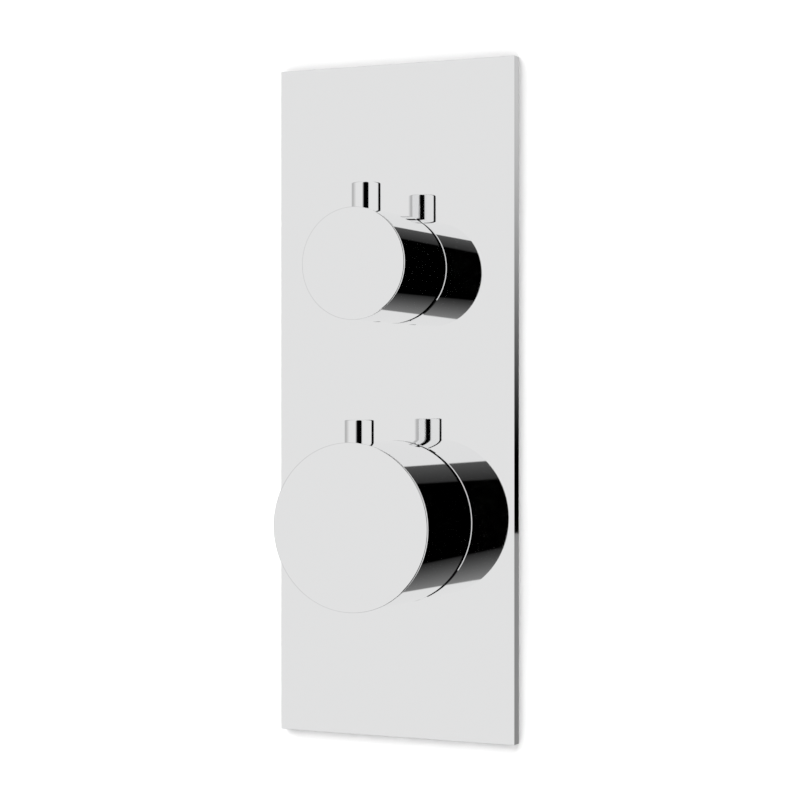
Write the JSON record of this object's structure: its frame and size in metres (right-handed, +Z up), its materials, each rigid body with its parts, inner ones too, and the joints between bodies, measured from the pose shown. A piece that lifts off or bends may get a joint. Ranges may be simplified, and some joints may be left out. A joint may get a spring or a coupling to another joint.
{
  "type": "thermostatic shower valve",
  "caption": "Concealed thermostatic shower valve: tall mirror faceplate, large temperature knob and small flow knob with peg levers, brass body behind the wall.",
  "frame": {"origin": "centre of the faceplate's back face, on the finished wall", "axes": "+X the user's right, +Y into the wall, +Z up"},
  "size_m": [0.118, 0.1332, 0.31],
  "materials": {
    "mirror_chrome": "mirror-polished chrome plate",
    "cast_brass": "sand-cast and shot-blasted, machined faces bright",
    "turned_brass": "turned",
    "stainless": "drawn or pressed stainless steel",
    "zinc_plate": "zinc-plated pressed steel",
    "black_rubber": "moulded",
    "foam": "closed-cell foam strip",
    "white_plastic": "moulded",
    "dark_plastic": "glass-filled, moulded",
    "ceramic": null
  },
  "bodies": {
    "fixed": {"faceplate": "mirror_chrome", "faceplate_gasket": "foam", "temperature_sleeve": "mirror_chrome", "flow_sleeve": "mirror_chrome", "temperature_sleeve_seal": "black_rubber", "flow_sleeve_seal": "black_rubber", "temperature_stop_ring": "white_plastic", "flow_stop_ring": "white_plastic", "temperature_bonnet": "turned_brass", "flow_bonnet": "turned_brass", "temperature_bonnet_seal": "black_rubber", "flow_bonnet_seal": "black_rubber", "temperature_thrust_washer": "white_plastic", "flow_thrust_washer": "white_plastic", "temperature_spindle_seal": "black_rubber", "flow_spindle_seal": "black_rubber", "thermostat_cage": "dark_plastic", "cage_seals": "black_rubber", "hot_seat": "turned_brass", "return_spring": "stainless", "disc_shell": "dark_plastic", "fixed_ceramic_disc": "ceramic", "disc_seal": "black_rubber", "cold_check_cage": "dark_plastic", "hot_check_cage": "dark_plastic", "cold_check_spring": "stainless", "hot_check_spring": "stainless", "cold_strainer": "stainless", "hot_strainer": "stainless", "valve_body": "cast_brass", "mounting_bracket": "zinc_plate", "bracket_screws": "stainless"},
    "temperature_control": {"temperature_knob": "mirror_chrome", "temperature_lever": "mirror_chrome", "temperature_grub_screw": "stainless", "temperature_spline_adaptor": "white_plastic", "temperature_spindle": "turned_brass", "temperature_circlip": "stainless"},
    "regulator": {"regulator_nut": "turned_brass", "overload_spring": "stainless", "overload_cap": "turned_brass", "overload_circlip": "stainless", "wax_element": "turned_brass", "shuttle": "turned_brass", "shuttle_seal": "black_rubber"},
    "flow_control": {"flow_knob": "mirror_chrome", "flow_lever": "mirror_chrome", "flow_grub_screw": "stainless", "flow_spline_adaptor": "white_plastic", "flow_spindle": "turned_brass", "flow_circlip": "stainless", "moving_ceramic_disc": "ceramic"},
    "hot_check": {"hot_check_poppet": "dark_plastic"},
    "cold_check": {"cold_check_poppet": "dark_plastic"}
  },
  "joints": [
    {"name": "temperature_turn", "type": "hinge", "parent": "fixed", "child": "temperature_control", "pos_m": [0, -0.03, -0.056], "axis": [0, -1, 0], "range_deg": [-135, 60]},
    {"name": "regulator_slide", "type": "slide", "parent": "fixed", "child": "regulator", "axis": [0, -1, 0], "range_m": [-0.00113, 0.00051], "deforming": ["return_spring"]},
    {"name": "flow_turn", "type": "hinge", "parent": "fixed", "child": "flow_control", "pos_m": [0, -0.03, 0.0605], "axis": [0, -1, 0], "range_deg": [-90, 90]},
    {"name": "hot_check_lift", "type": "slide", "parent": "fixed", "child": "hot_check", "axis": [1, 0, 0], "range_m": [0, 0.003], "stiffness_N_per_m": 100, "springref_m": -0.003, "deforming": ["hot_check_spring"]},
    {"name": "cold_check_lift", "type": "slide", "parent": "fixed", "child": "cold_check", "axis": [-1, 0, 0], "range_m": [0, 0.003], "stiffness_N_per_m": 100, "springref_m": -0.003, "deforming": ["cold_check_spring"]}
  ],
  "couplings": [
    {"joint": "regulator_slide", "follows": "temperature_turn", "m_per_rad": 0.00047746}
  ]
}
